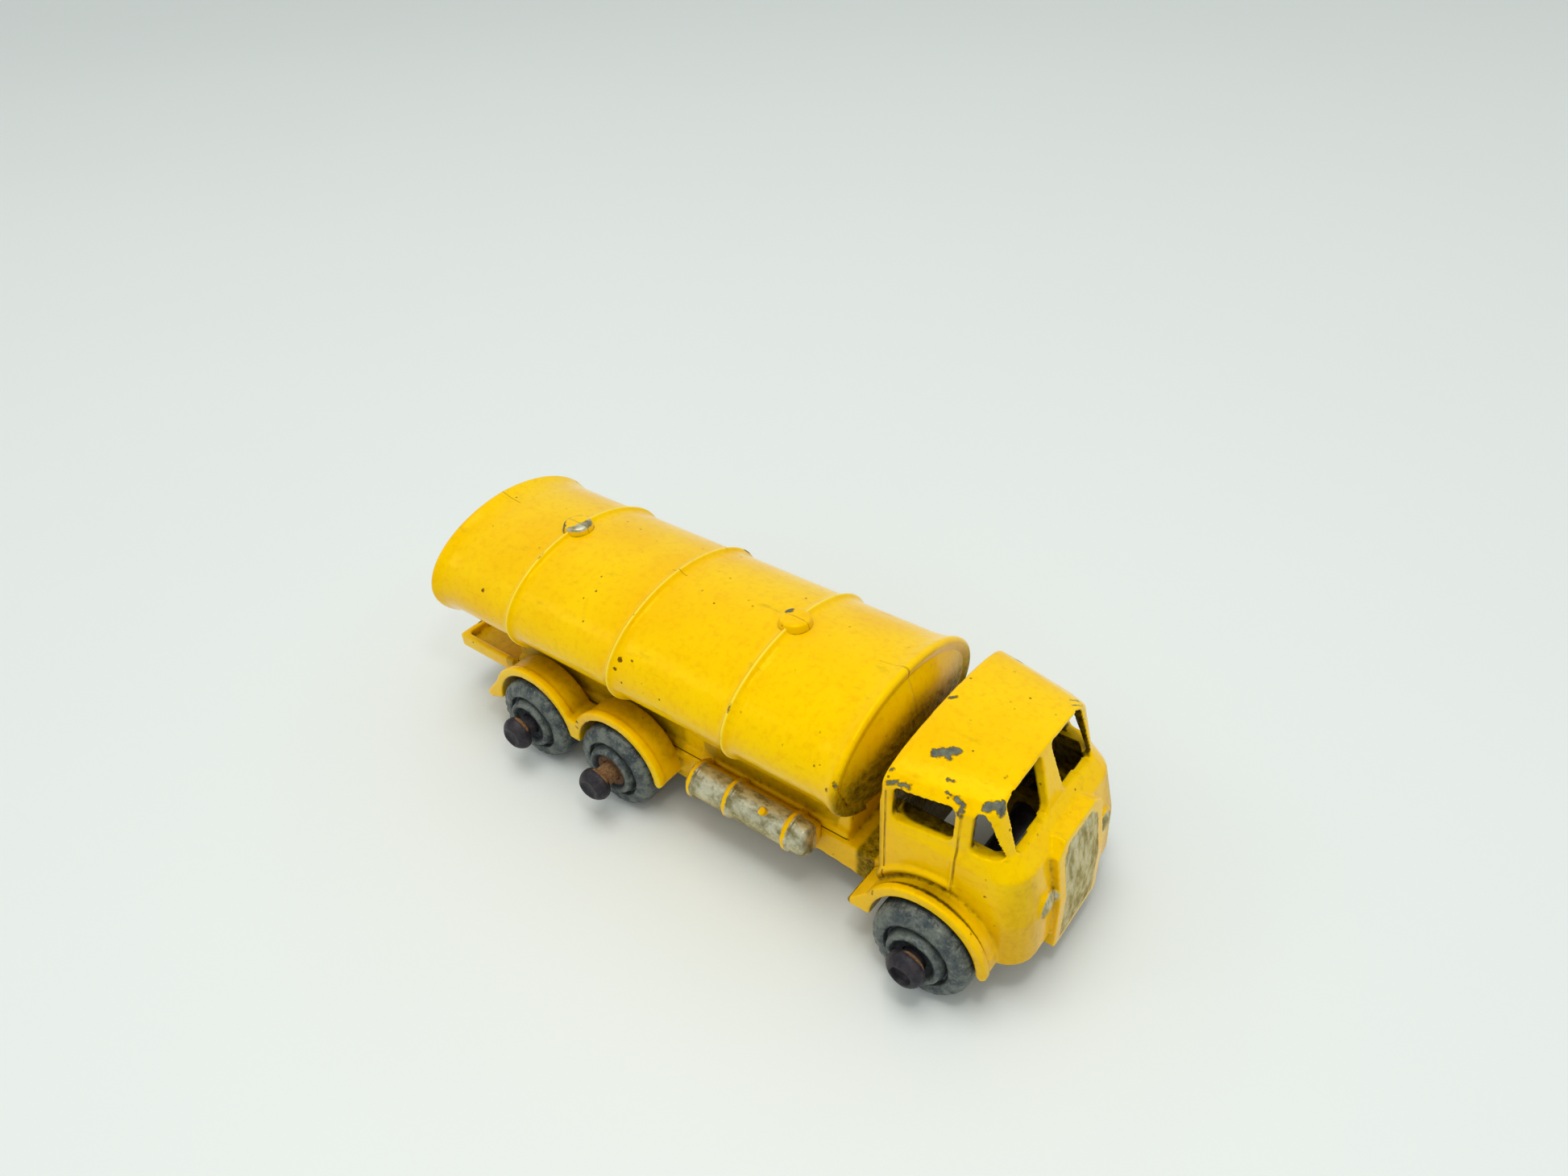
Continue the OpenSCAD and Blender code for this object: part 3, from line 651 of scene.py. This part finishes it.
def inner_share(points, normals):
    """1 on surfaces inside the cab and inside the tank, where grime and painted shade go, 0 on those
    outside.
    """
    x, y, z = points.T
    side = np.abs(y)

    # Painted shade with grime on walls that face the cab's middle and on all that lies deep inside it: less
    # so the windows' lower edges.
    cab = facing_share(points, normals, (19.3, 0, 9.5)) * (x > 15.9) * (x < 25.2) * (z > 4.9)
    deep = smooth_step(cab_depth(x, side, z), 0.4, 0.65) * (z > 4.9) * smooth_step(-z, -13.9, -13.5)
    deep = deep * np.where((x > 20.6) & (z < 11.1), 0.35, 1)

    # Painted shade with grime on the tops and inward sides of the chassis rails below the cab.
    inward = (normals[:, 2] > 0.5) | (normals[:, 1] * np.sign(y) < -0.5)
    rails = inward * (x > 15.9) * (x < 24.6) * (z > 2.0) * (z < 5.0) * (side < 6.2) * 0.9

    # Painted shade with grime on walls that face the tank's middle line, from inside the barrel or the slot
    # through its saddle.
    within = (tank_reach(y, z) < 0.97) | (side < 3.55)
    tank = facing_share(points, normals, (0, 0, 10.5), (0, 1, 1)) * (x < 12.0) * (z > 7.0) * within
    return np.max([cab, deep, rails, tank * 0.8], axis=0)


def soot_and_shade_share(points, normals):
    """Soot and painted shade where no cloth reaches: round the cab's back, guards, fuel tanks, below."""
    x, y, z = points.T
    side = np.abs(y)
    up = normals[:, 2]
    # Painted shade with soot in the gap between the tank's front and the cab's back, and on the deck there.
    gap = smooth_step(x, 12.3, 13.0) * smooth_step(-x, -15.8, -15.3) * smooth_step(-z, -14.2, -10.0)
    gap = gap * smooth_step(z, 5.2, 5.8)
    deck = smooth_step(x, 11.8, 13.0) * smooth_step(-x, -15.6, -15.2) * smooth_step(-side, -5.9, -5.3)
    deck = deck * smooth_step(z, 4.7, 5.0) * smooth_step(-z, -6.2, -5.4) * 0.55
    # Painted shade with soot low on the tank's front end.
    front_end = smooth_step(x, 12.6, 13.0) * (x < 14.2) * smooth_step(-z - 0.25 * side, -14.6, -12.6)
    # Painted shade at the cab's lower front corners.
    corner = smooth_step(x, 22.6, 24.2) * smooth_step(side, 3.8, 5.0) * smooth_step(-z, -10.2, -9.2) * 0.3
    # Painted shade with soot on the rear guards' tops beside the tank, and on the fuel tanks' tops under it.
    guard_top = smooth_step(-side, -7.8, -6.0) * smooth_step(-x, 1.6, 2.2) * (x > -20)
    guard_top = guard_top * smooth_step(z, 4.0, 5.0) * smooth_step(-z, -8.4, -7.8) * 0.5
    fuel_top = smooth_step(-side, -6.5, -6.0) * (x > -0.2) * (x < 11.0)
    fuel_top = fuel_top * smooth_step(z, 5.2, 5.8) * (z < 6.6) * 0.5
    # Painted shade on faces that turn down, low on the lorry; dirt on the rear tray's floor.
    under = smooth_step(-up, 0.3, 0.9) * smooth_step(-z, -6.0, -4.0) * 0.5
    tray = smooth_step(-x, 19.4, 20.0) * smooth_step(up, 0.6, 0.9) * smooth_step(-z, -4.95, -4.7) * 0.34
    return np.max([gap, deck, front_end, corner, guard_top, fuel_top, under, tray], axis=0)


def surface_values(points, normals, near, wide):
    """The attributes that the enamel reads, at each point of the casting."""
    return {
        "cavity": np.clip(near / 0.16 + wide / 0.45, 0, 1),
        "edge": np.clip(-near / 0.14, 0, 1),
        "chip": nearest_run(points, CHIPS),
        "stain": nearest_run(points, STAINS),
        "silver": silver_distance(points),
        "seam": seam_distance(points, normals),
        "soot_and_shade": soot_and_shade_share(points, normals),
        "inner": inner_share(points, normals),
    }


# ---------------------------------------------------------------------------------------------
# The body casting
# ---------------------------------------------------------------------------------------------

CASTING = "body_casting"

# Tank: barrel half-sizes, middle height, squareness, and the places of its ends and bands.
TANK = {"half_w": 7.7, "half_h": 4.3, "mid_z": 11.4, "power": 1.92}
TANK_ENDS = (-23.9, 12.8)
TANK_BANDS = {"tank_band_rear": -15.55, "tank_band_middle": -5.6, "tank_band_front": 4.35}
RING_STEPS = 560


def gather(names):
    """The named CAD nodes as one list of points and triangles, and each triangle's node number."""
    points, triangles, owner = [], [], []
    start = 0
    for number, name in enumerate(names):
        p, f = read_mesh(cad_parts[name].data)
        points.append(p)
        triangles.append(f + start)
        owner.append(np.full(len(f), number))
        start += len(p)
    return np.concatenate(points), np.concatenate(triangles), np.concatenate(owner)


def nearest_node(skin, points, triangles, owner):
    """Number of the CAD node whose surface is nearest to each quad's middle."""
    tree = BVHTree.FromPolygons(points.tolist(), triangles.tolist())
    middles = skin.points[skin.quads].mean(axis=1)
    return owner[[tree.find_nearest(middle)[2] for middle in middles]]


def put_piece(name, points, quads, normals, values, material, body, node):
    """Makes one piece from arrays: it rides on a body and stands for a CAD node."""
    used, local = np.unique(quads, return_inverse=True)
    mesh = make_mesh(name, points[used], local.reshape(-1, 4))
    for key, array in values.items():
        layer = mesh.attributes.new(key, "FLOAT", "POINT")
        layer.data.foreach_set("value", array[used].astype(np.float32))
    mesh.normals_split_custom_set_from_vertices(normals[used].tolist())
    mesh.materials.append(material)
    piece = add_object(name, mesh)
    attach(piece, body)
    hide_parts(node)


def curvature(skin, near_rounds=10, wide_rounds=60):
    """Unit normals, and how far each point lies inside its near and its wider surroundings."""
    normals = skin.normals()
    near = np.sum((skin.smooth(skin.points, near_rounds) - skin.points) * normals, axis=1)
    wide = np.sum((skin.smooth(skin.points, wide_rounds) - skin.points) * normals, axis=1)
    return normals, near, wide


def make_group(own, around, voxel, rounds, material, shape=None):
    """Skins some CAD nodes of the casting together with those around them, and makes a piece for each."""
    points, triangles, owner = gather(own + around)
    skin = Skin(*voxel_skin(points, triangles, voxel))
    part = nearest_node(skin, points, triangles, owner)
    skin.points = skin.smooth(skin.points, rounds)
    if shape:
        shape(skin)
    normals, near, wide = curvature(skin)
    values = surface_values(skin.points, normals, near, wide)
    for number, node in enumerate(own):
        quads = skin.quads[part == number]
        put_piece(node + "_skin", skin.points, quads, normals, values, material, CASTING, node)


def tank_reach(y, z):
    """Size of the barrel's outline through a point, against the barrel's own: 1 is on the barrel."""
    power = TANK["power"]
    across = (np.abs(y) / TANK["half_w"]) ** power
    upright = (np.abs(z - TANK["mid_z"]) / TANK["half_h"]) ** power
    return (across + upright) ** (1 / power)


def shape_tank(skin):
    """Rounds the barrel exactly and domes its ends."""
    x, y, z = skin.points.T
    reach = tank_reach(y, z)
    on_barrel = (reach > 0.955) & (reach < 1.05) & (x > -23.75) & (x < 12.65)
    beside_saddle = np.clip(smooth_step(z, 7.6, 8.0) + (np.abs(y) > 5.0), 0, 1)
    grown = 1 + (1 / reach - 1) * on_barrel * beside_saddle
    skin.points[:, 1] = y * grown
    skin.points[:, 2] = TANK["mid_z"] + (z - TANK["mid_z"]) * grown
    dome = 1.1 * (1 - np.clip(reach, 0, 1) ** 2)
    for end, outward in zip(TANK_ENDS, (-1, 1)):
        on_end = ((x - end) * outward > -0.5) & (reach < 0.985)
        skin.points[on_end, 0] = end + outward * (dome[on_end] - 0.15)
    skin.points = skin.smooth(skin.points, 2)


# Middle of the front wheel arch seen from the side, and the radius of the raised lip over it.
ARCH = {"x": 19.28, "z": 3.35, "lip_r": 4.75}


def shape_cab(skin):
    """Softens grille plate and rear roof corners, and raises the doors' front edges and the arches' lips."""
    x, y, z = skin.points.T
    plate = (x > 24.4) & (np.abs(y) < 2.15) & (z > 2.2) & (z < 9.9)
    corner = smooth_step(-x, -17.0, -16.2) * smooth_step(z, 12.3, 13.2)
    skin.points = skin.smooth(skin.points, 12, plate * 0.5)
    skin.points = skin.smooth(skin.points, 40, corner * 0.5)
    normals = skin.normals()
    away = line_in_side_view(x, z, *DOOR_FRONT)
    flank = smooth_step(normals[:, 1] * np.sign(y), 0.6, 0.8) * (np.abs(y) > 5.5)
    ridge = 0.09 * np.exp(-(away / 0.13) ** 2)
    over_arch = np.hypot(x - ARCH["x"], z - ARCH["z"]) - ARCH["lip_r"]
    lip = 0.12 * np.exp(-(over_arch / 0.2) ** 4) * (z > 5.3) * smooth_step(-x, -20.6, -20.0)
    skin.points += normals * (np.maximum(ridge, lip) * flank)[:, None]


def barrel_ring(profile, steps):
    """Points and quads of a profile (place along the tank, height over it) swept round the barrel."""
    turn = np.linspace(0, 2 * math.pi, steps, endpoint=False)
    share = 2 / TANK["power"]
    across = np.sign(np.cos(turn)) * np.abs(np.cos(turn)) ** share
    upright = np.sign(np.sin(turn)) * np.abs(np.sin(turn)) ** share
    out_y = np.sign(across) * np.abs(across) ** (TANK["power"] - 1) / TANK["half_w"]
    out_z = np.sign(upright) * np.abs(upright) ** (TANK["power"] - 1) / TANK["half_h"]
    size = np.hypot(out_y, out_z)
    place, height = np.array(profile).T[:, :, None]
    y = across * TANK["half_w"] + height * out_y / size
    z = TANK["mid_z"] + upright * TANK["half_h"] + height * out_z / size
    points = np.stack([np.broadcast_to(place, y.shape), y, z], axis=2)
    return points.reshape(-1, 3), grid_quads(len(profile), steps)


def make_ring(node, profile, material):
    """One raised band or end rim of the tank, open where it runs into the saddle."""
    points, quads = barrel_ring(profile, RING_STEPS)
    skin = Skin(points, quads)
    skin.points = roughen(points, 0.02, 0.35)
    normals, near, wide = curvature(skin)
    values = surface_values(skin.points, normals, near, wide)
    # A strong painted highlight along the crests, kept short of the value that wears through to zinc.
    values["edge"] = np.clip(-near / 0.03, 0, 0.74)
    middles = skin.points[quads].mean(axis=1)
    clear = (np.abs(middles[:, 1]) > 4.6) | (middles[:, 2] > TANK["mid_z"])
    put_piece(node + "_ring", skin.points, quads[clear], normals, values, material, CASTING, node)


def make_bands(material):
    """The three bands round the barrel and the flared rims at its ends."""
    run = np.linspace(-1.15, 1.15, 47)
    height = 0.24 * np.exp(-(run / 0.2) ** 2) + 0.1 * np.exp(-(run / 0.6) ** 2) - 0.025
    for node, place in TANK_BANDS.items():
        make_ring(node, np.stack([place + run, height], axis=1), material)
    corners = [
        (-2.4, -0.03), (-1.6, 0.03), (-1.0, 0.1), (-0.55, 0.23), (-0.2, 0.35),
        (0.02, 0.3), (0.14, 0.12), (0.12, -0.2), (0.0, -0.7),
    ]
    flare = rounded(corners, 0.25, 0.06)
    for node, end, outward in zip(("tank_rim_rear", "tank_rim_front"), TANK_ENDS, (-1, 1)):
        profile = flare * [outward, 1] + [end, 0]
        make_ring(node, profile[::outward], material)


def grid_quads(rows, columns):
    """Quads between rows of points, where each row is a closed ring."""
    start = np.arange(rows - 1)[:, None] * columns
    here = np.arange(columns)[None, :]
    after = (here + 1) % columns
    quads = np.stack([start + here, start + after, start + columns + after, start + columns + here], axis=2)
    return quads.reshape(-1, 4)


def turned(profile, segments, spin_wave=None):
    """Points and quads of a profile (distance along the axis, radius) turned round the X axis."""
    profile = np.array(profile, float)
    angles = np.linspace(0, 2 * math.pi, segments, endpoint=False)
    along = np.repeat(profile[:, :1], segments, axis=1)
    radius = np.repeat(profile[:, 1:], segments, axis=1)
    if spin_wave is not None:
        along, radius = spin_wave(along, radius, angles[None, :])
    points = np.stack([along, radius * np.cos(angles), radius * np.sin(angles)], axis=2)
    return points.reshape(-1, 3), grid_quads(len(profile), segments)


def rounded(corners, radius, step):
    """A line through corners, each rounded off, with points no further apart than step."""
    corners = np.array(corners, float)
    line = [corners[0]]
    for before, corner, after in zip(corners[:-2], corners[1:-1], corners[2:]):
        cut = min(radius, 0.45 * np.linalg.norm(before - corner), 0.45 * np.linalg.norm(after - corner))
        a = corner + (before - corner) / np.linalg.norm(before - corner) * cut
        b = corner + (after - corner) / np.linalg.norm(after - corner) * cut
        for t in np.linspace(0, 1, 6):
            line.append((1 - t) ** 2 * a + 2 * t * (1 - t) * corner + t * t * b)
    line.append(corners[-1])
    dense = [line[0]]
    for a, b in zip(line[:-1], line[1:]):
        count = max(1, int(np.ceil(np.linalg.norm(b - a) / step)))
        dense += [a + (b - a) * (i + 1) / count for i in range(count)]
    return np.array(dense)


def node_box(name):
    """Lowest and highest corner of a CAD node, in millimetres."""
    low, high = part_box(name)
    return np.array(low) / MM, np.array(high) / MM


def make_cap(node, material):
    """A low filler cap with a soft rim on the tank's crown."""
    low, high = node_box(node)
    middle = (low + high) / 2
    top = high[2] - 0.14
    profile = [(0.0, 0.0), (-0.03, 0.82), (-0.1, 1.0), (-0.42, 1.1), (-0.75, 1.2), (-1.3, 1.3)]
    points, quads = turned(rounded(profile, 0.14, 0.05), 96)
    placed = np.stack([middle[0] + points[:, 2], middle[1] + points[:, 1], top + points[:, 0]], axis=1)
    skin = Skin(roughen(placed, 0.03, 0.8), quads)
    normals, near, wide = curvature(skin)
    values = surface_values(skin.points, normals, near, wide)
    x, y, z = (skin.points - [middle[0], middle[1], top]).T
    # The rear cap is rubbed bright across its middle, and both are chipped at an edge.
    if node == "filler_cap_rear":
        values["silver"] = np.maximum(np.abs(x * 0.55 - y * 0.1 - 0.42 + y * y * 0.1) - 0.24, -z - 0.25)
        values["chip"] = np.maximum(np.abs(np.hypot(x, y) - 1.02) - 0.1, x + 0.35)
    else:
        values["chip"] = np.hypot(x + 0.72, y - 0.35) - 0.28
    values["cavity"] = smooth_step(-z, 0.35, 0.7) * 0.7
    put_piece(node + "_disc", skin.points, skin.quads, normals, values, material, CASTING, node)


# ---------------------------------------------------------------------------------------------
# Wheels and axle pins
# ---------------------------------------------------------------------------------------------

TREAD_BLOCKS = 26
STEPS_PER_BLOCK = 9

# Half a section of a wheel as (distance in from the tyre's outer face, radius): back, tread, outer side,
# ring groove, disc, dished hub and bore. The hub stands out past the tyre's face.
WHEEL_OUTLINE = [
    (2.2, 0.79), (2.2, 1.6), (2.5, 2.0), (2.5, 2.95), (2.28, 3.3), (1.85, 3.35), (0.8, 3.35), (0.42, 3.26),
    (0.16, 3.02), (0.0, 2.68), (-0.03, 2.4), (0.03, 2.24), (0.34, 2.12), (0.36, 2.0), (0.0, 1.91),
    (-0.28, 1.84), (-0.39, 1.72), (-0.37, 1.56), (-0.22, 1.42), (-0.1, 1.28), (-0.1, 0.79), (2.2, 0.79),
]
HUB_STANDS_OUT = 0.4

# How far each pin's heads reach along it.
HEAD_THICKNESS = 1.15

# How far rust from the pin has spread over a wheel's hub.
RUSTY = {"wheel_middle_right": 1.0, "wheel_front_left": 0.6, "wheel_rear_left": 0.5}

# How deep each pin's heads are dished.
HEAD_DENT = {"axle_front": 0.42, "axle_middle": 0.1, "axle_rear": 0.1}


def tread(along, radius, angles):
    """Raises small worn blocks on a tyre's outer shoulder and cuts shallow grooves in its corners."""
    turn = angles * TREAD_BLOCKS / (2 * math.pi)
    uneven = 0.7 + 0.3 * np.sin(5 * angles + 1) * np.cos(3 * angles)
    block = smooth_step(-np.abs(turn % 1 - 0.5), -0.34, -0.14) * uneven
    shoulder = smooth_step(radius, 2.78, 2.96) * smooth_step(-radius, -3.22, -3.06) * (along < 1.0)
    groove = smooth_step(-np.abs((turn + 0.5) % 1 - 0.5), -0.16, -0.06) * uneven
    groove = groove * smooth_step(radius, 3.1, 3.26)
    corner = smooth_step(-along, -1.15, -0.95) + smooth_step(along, 1.95, 2.1)
    return along - 0.07 * block * shoulder, radius - 0.06 * groove * corner


def roughen(points, amount, per_mm):
    """Moves points a little by a smooth noise, as on a rough casting."""
    moved = np.array([noise.noise_vector(Vector(p) * per_mm) for p in points])
    return points + moved * amount


def make_wheel(node, material):
    """A cast wheel: tyre with a swelling side, ring groove, disc and dished hub."""
    low, high = node_box(node)
    middle = (low + high) / 2
    right = middle[1] < 0
    outward = -1 if right else 1
    face = max(abs(low[1]), abs(high[1])) - HUB_STANDS_OUT
    points, quads = turned(rounded(WHEEL_OUTLINE, 0.1, 0.065), TREAD_BLOCKS * STEPS_PER_BLOCK, tread)
    along, forward, up = points.T
    placed = np.stack([middle[0] + forward, outward * (face - along), middle[2] + up], axis=1)
    lumpy = roughen(roughen(placed, 0.045, 0.8), 0.03, 2.6)
    skin = Skin(lumpy, quads if right else quads[:, ::-1])
    normals, near, wide = curvature(skin, near_rounds=8, wide_rounds=40)
    from_axis = np.hypot(forward, up)
    values = {
        "cavity": np.clip(near / 0.06 + wide / 0.2 + smooth_step(-from_axis, -1.5, -1.3) * 0.6, 0, 1),
        "edge": np.clip(-near / 0.05, 0, 1),
        "rust": smooth_step(-from_axis, -1.45, -1.0) * RUSTY.get(node, 0.25),
    }
    put_piece(node + "_cast", skin.points, skin.quads, normals, values, material, node, node)


def make_axle(node, material):
    """A pin with a thick domed head at each end, dished in its middle."""
    low, high = node_box(node)
    middle = (low + high) / 2
    half = (high[1] - low[1]) / 2
    neck = half - HEAD_THICKNESS
    dent = HEAD_DENT[node]
    head = [
        (neck - 0.02, 0.75), (neck, 1.06), (neck + 0.14, 1.22), (neck + 0.5, 1.27), (neck + 0.85, 1.1),
        (neck + 1.08, 0.84), (neck + 1.1, 0.7), (neck + 1.05 - dent, 0.48), (neck + 1.04 - dent, 0.0),
    ]
    outline = [(-a, r) for a, r in reversed(head)] + [(a, r) for a, r in head]
    points, quads = turned(rounded(outline, 0.2, 0.1), 72)
    along, forward, up = points.T
    placed = middle + np.stack([forward, along, up], axis=1)
    out = np.abs(along) - neck
    heads = out > -0.03
    placed[heads] = roughen(placed[heads], 0.09, 0.8)
    skin = Skin(placed, quads[:, ::-1])
    shank = 1 - smooth_step(out, -0.15, 0.1)
    arc = smooth_step(forward * 0.45 + up * 0.9, 0.75, 1.15) * smooth_step(-out, -0.5, -0.2)
    bright = 1.0 if node == "axle_middle" else 0.3
    values = {"rust": np.maximum(shank * bright, arc * 0.75)}
    put_piece(node + "_pin", skin.points, skin.quads, skin.normals(), values, material, node, node)


# ---------------------------------------------------------------------------------------------
# The whole scene
# ---------------------------------------------------------------------------------------------

FUEL_PARTS = ("fuel_tank", "fuel_tank_straps", "fuel_filler")
FUEL_NODES = [part + side for side in ("_left", "_right") for part in FUEL_PARTS]
TANK_NODES = ["tank_barrel", "tank_saddle"]
CAB_NODES = [
    "cab_shell", "grille_surround", "grille_plate", "headlamp_left", "headlamp_right",
    "mudguard_front_left", "mudguard_front_right",
]
CHASSIS_NODES = ["chassis_frame", "mudguard_rear_left", "mudguard_rear_right"]
CAP_NODES = ("filler_cap_rear", "filler_cap_front")

make_camera()
make_lights()
floor = make_floor()
floor.data.materials.append(paper_material())
enamel = enamel_material()
make_group(TANK_NODES, ["chassis_frame"], voxel=0.12, rounds=5, material=enamel, shape=shape_tank)
make_bands(enamel)
make_group(CAB_NODES, ["chassis_frame"], voxel=0.085, rounds=2, material=enamel, shape=shape_cab)
make_group(CHASSIS_NODES, ["tank_saddle", "cab_shell"], voxel=0.11, rounds=5, material=enamel)
make_group(FUEL_NODES, [], voxel=0.06, rounds=3, material=enamel)
for cap in CAP_NODES:
    make_cap(cap, enamel)
zinc = zinc_material()
steel = steel_material()
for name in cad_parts:
    if name.startswith("wheel"):
        make_wheel(name, zinc)
    if name.startswith("axle"):
        make_axle(name, steel)

bpy.context.scene.view_settings.view_transform = "Standard"
